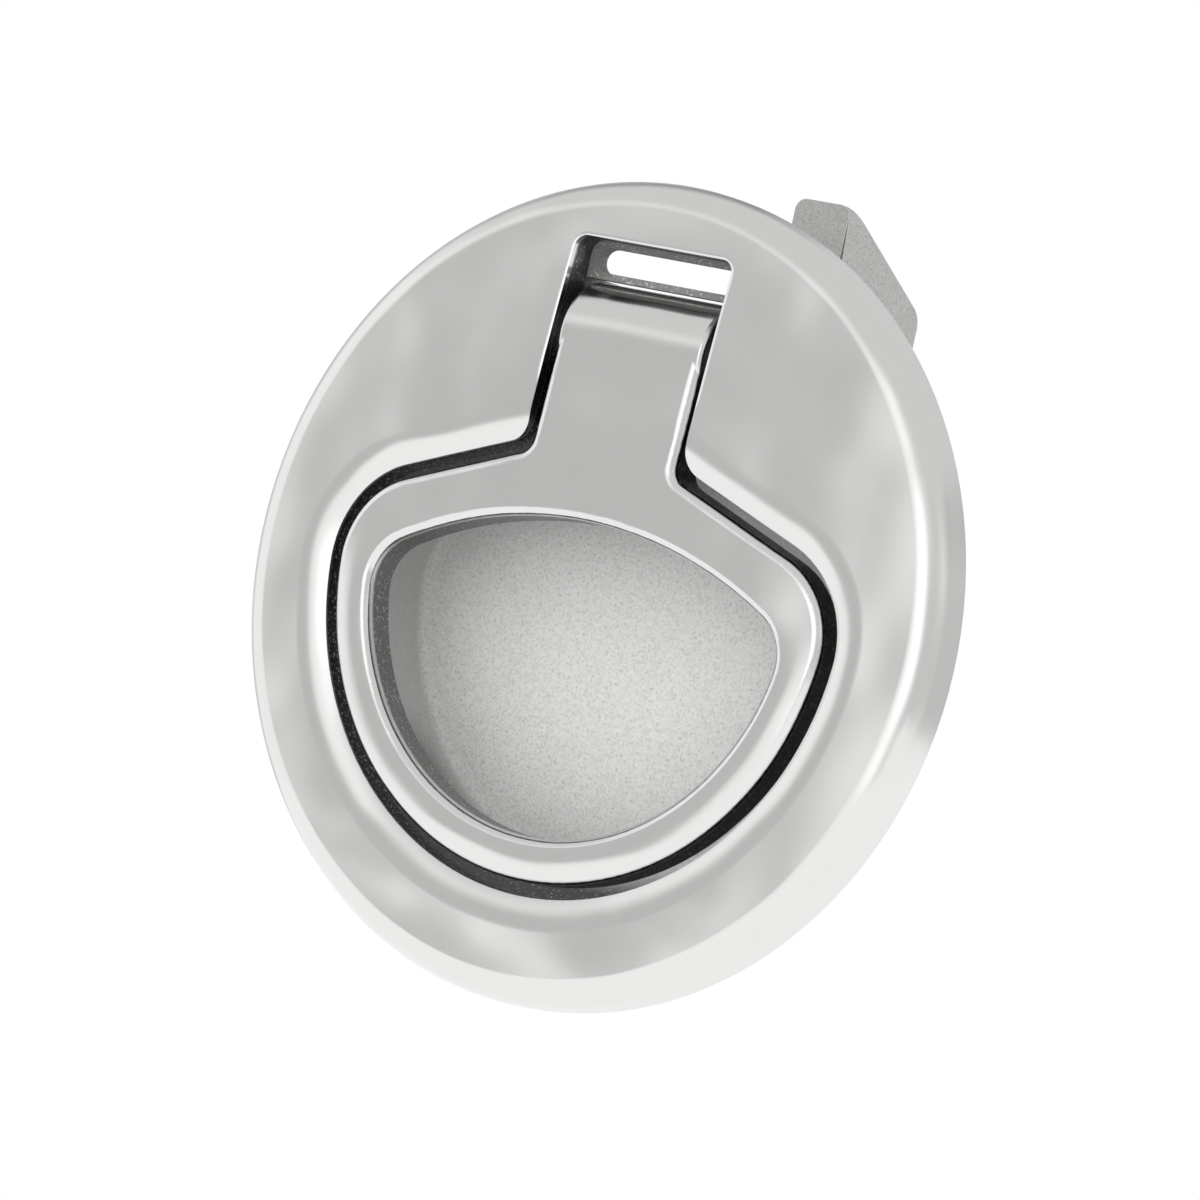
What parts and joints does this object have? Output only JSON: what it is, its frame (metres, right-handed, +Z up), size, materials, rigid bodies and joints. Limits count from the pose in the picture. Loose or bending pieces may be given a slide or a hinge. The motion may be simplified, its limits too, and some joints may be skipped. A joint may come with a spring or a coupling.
{
  "type": "slam latch",
  "caption": "Round flush slam latch with a domed polished bezel, a D-shaped pull ring hinged at the top, and a ramped spring bolt carried behind the panel.",
  "frame": {"origin": "centre of the round bezel on its flat back plane, where it meets the panel's face", "axes": "+Y points into the panel, from the face to the back; +Z points up, towards the bolt's tip; +X points right as seen from the front"},
  "size_m": [0.061, 0.0371, 0.0632],
  "materials": {
    "polished_steel": "hand-polished stainless steel casting, soft bright sheen",
    "cast_steel": "sandblasted stainless investment casting, rough and bright",
    "bolt_steel": "matt blasted stainless casting",
    "pin_steel": "ground stainless bar",
    "spring_steel": "drawn stainless spring wire",
    "screw_steel": "plain stainless screw",
    "plate_steel": "cold-rolled stainless sheet",
    "lever_steel": "blasted stainless casting",
    "washer_plastic": "natural acetal",
    "seal_rubber": "smooth black rubber",
    "bumper_rubber": "black rubber pad"
  },
  "bodies": {
    "housing": {"bezel": "polished_steel", "rim_seal": "seal_rubber", "body": "cast_steel", "bezel_screws": "screw_steel", "pivot_pin": "pin_steel", "handle_spring": "spring_steel", "pivot_washer_left": "washer_plastic", "pivot_washer_right": "washer_plastic", "lever_bumper": "bumper_rubber", "bolt_stop_pin": "pin_steel", "spring_guide": "pin_steel", "bolt_spring": "spring_steel", "rear_cover": "plate_steel", "cover_screws": "screw_steel", "cover_washers": "spring_steel"},
    "handle": {"pull_handle": "polished_steel", "lift_lever": "lever_steel", "lever_pin": "pin_steel"},
    "bolt": {"slam_bolt": "bolt_steel"}
  },
  "joints": [
    {"name": "handle_pull", "type": "hinge", "parent": "housing", "child": "handle", "pos_m": [0, 0.00015, 0.0183], "axis": [-1, 0, 0], "range_deg": [0, 32.38], "stiffness_Nm_per_rad": 0.2659, "springref_deg": -13.53, "deforming": ["handle_spring"]},
    {"name": "bolt_slide", "type": "slide", "parent": "housing", "child": "bolt", "axis": [0, 0, -1], "range_m": [0, 0.0079], "deforming": ["bolt_spring"]}
  ],
  "couplings": [
    {"joint": "handle_pull", "follows": "bolt_slide", "rad_per_m": 71.536}
  ]
}
